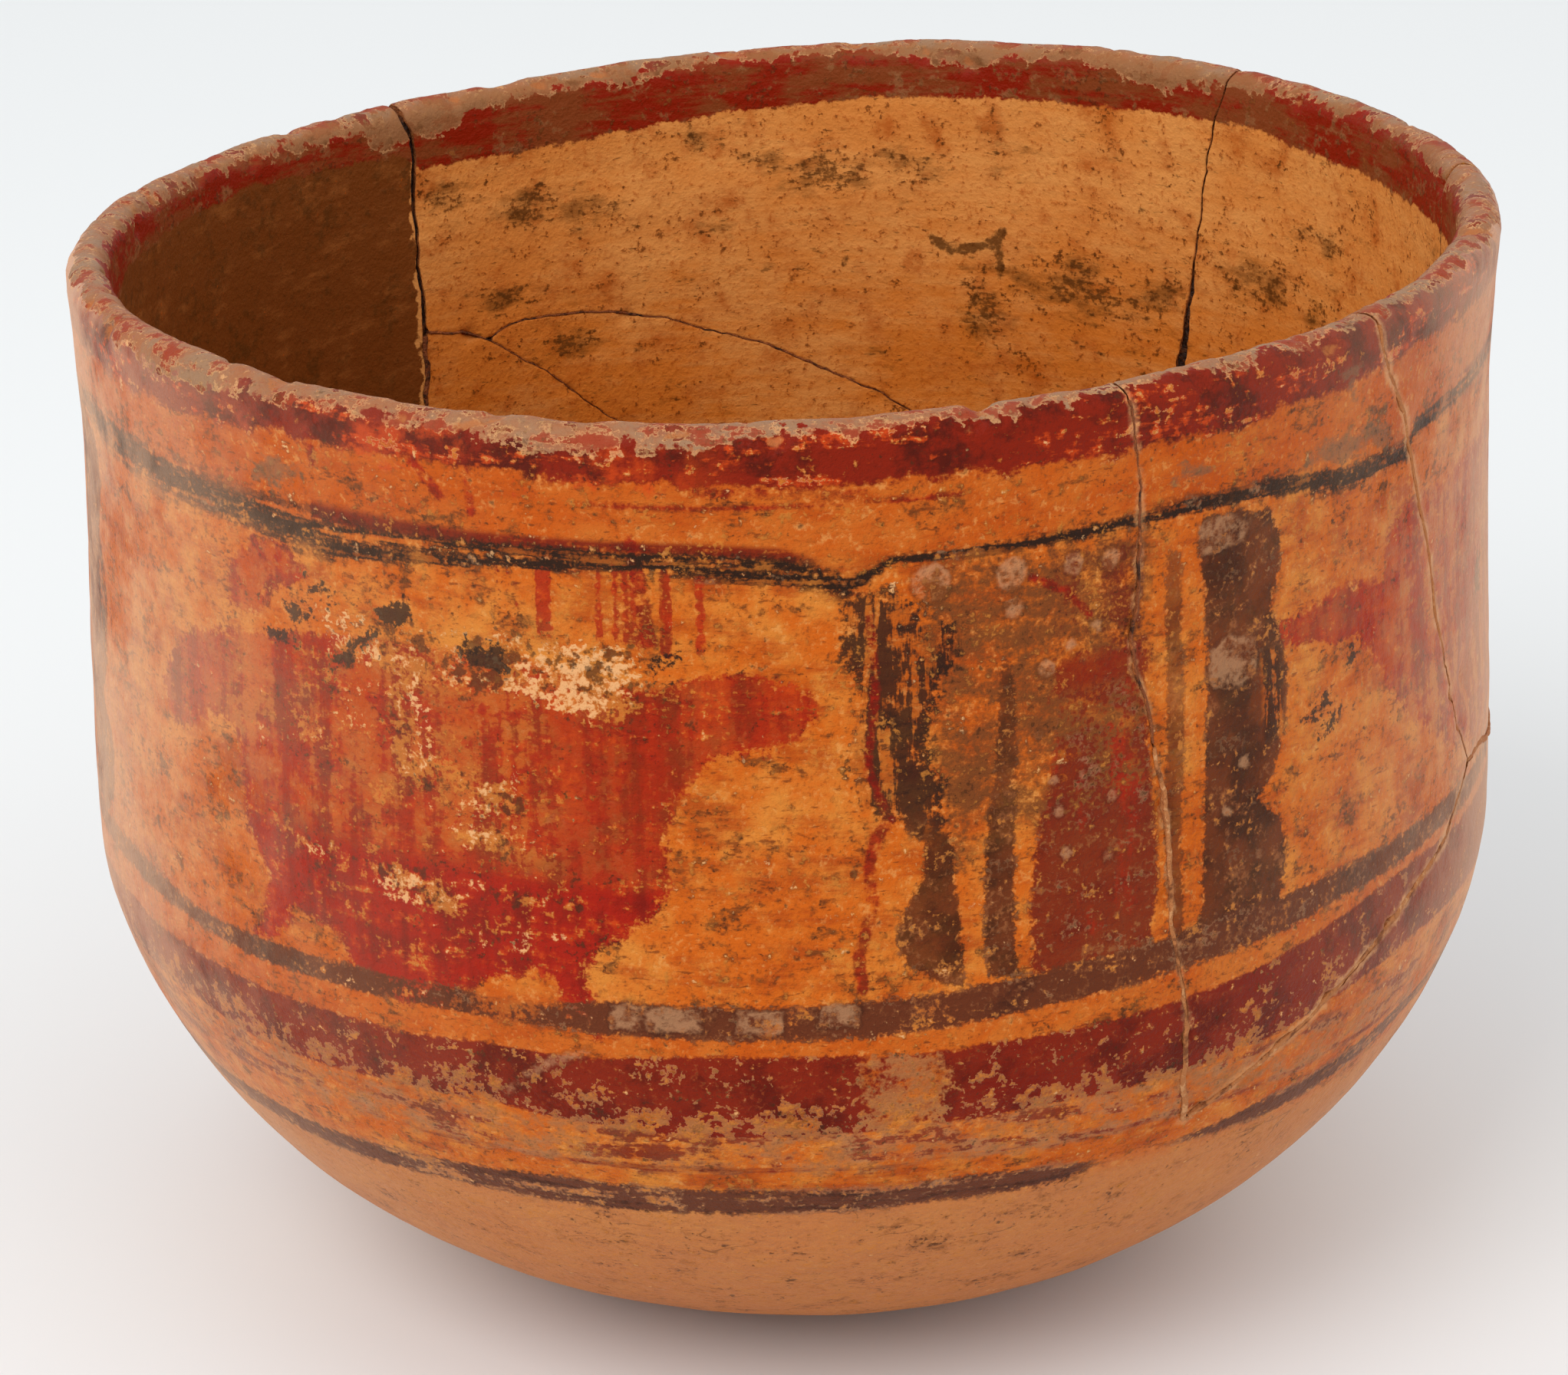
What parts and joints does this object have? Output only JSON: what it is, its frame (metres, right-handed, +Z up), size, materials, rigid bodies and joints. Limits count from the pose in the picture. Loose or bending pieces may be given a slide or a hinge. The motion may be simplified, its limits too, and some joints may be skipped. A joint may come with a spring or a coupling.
{
  "type": "terracotta bowl",
  "caption": "Deep round hand-built terracotta bowl with painted bands, broken into sherds and mended with adhesive in the joints.",
  "frame": {"origin": "centre of the bounding box in plan, at the height of the resting face under the foot", "axes": "+Z up out of the bowl's mouth, -Y towards the pictured side"},
  "size_m": [0.2124, 0.2124, 0.1624],
  "materials": {
    "terracotta": "unglazed, painted slip bands, worn",
    "adhesive": "dried brown adhesive",
    "pale_fill": "matt tan gap filler"
  },
  "bodies": {
    "root": {"base_and_left_wall_sherd": "terracotta", "front_right_sherd": "terracotta", "right_sherd": "terracotta", "back_right_sherd": "terracotta", "back_sherd": "terracotta", "back_lens_sherd": "terracotta", "back_crescent_sherd": "terracotta", "front_joint_glue": "adhesive", "right_joint_glue": "adhesive", "slant_joint_back_glue": "adhesive", "side_joint_glue": "adhesive", "left_joint_upper_glue": "adhesive", "left_joint_lower_glue": "adhesive", "back_joint_upper_glue": "adhesive", "back_joint_lower_glue": "adhesive", "crescent_joint_glue": "adhesive", "lens_joint_glue": "adhesive", "front_joint_fill": "pale_fill", "slant_joint_fill": "pale_fill", "slant_joint_right_glue": "pale_fill"}
  },
  "joints": []
}
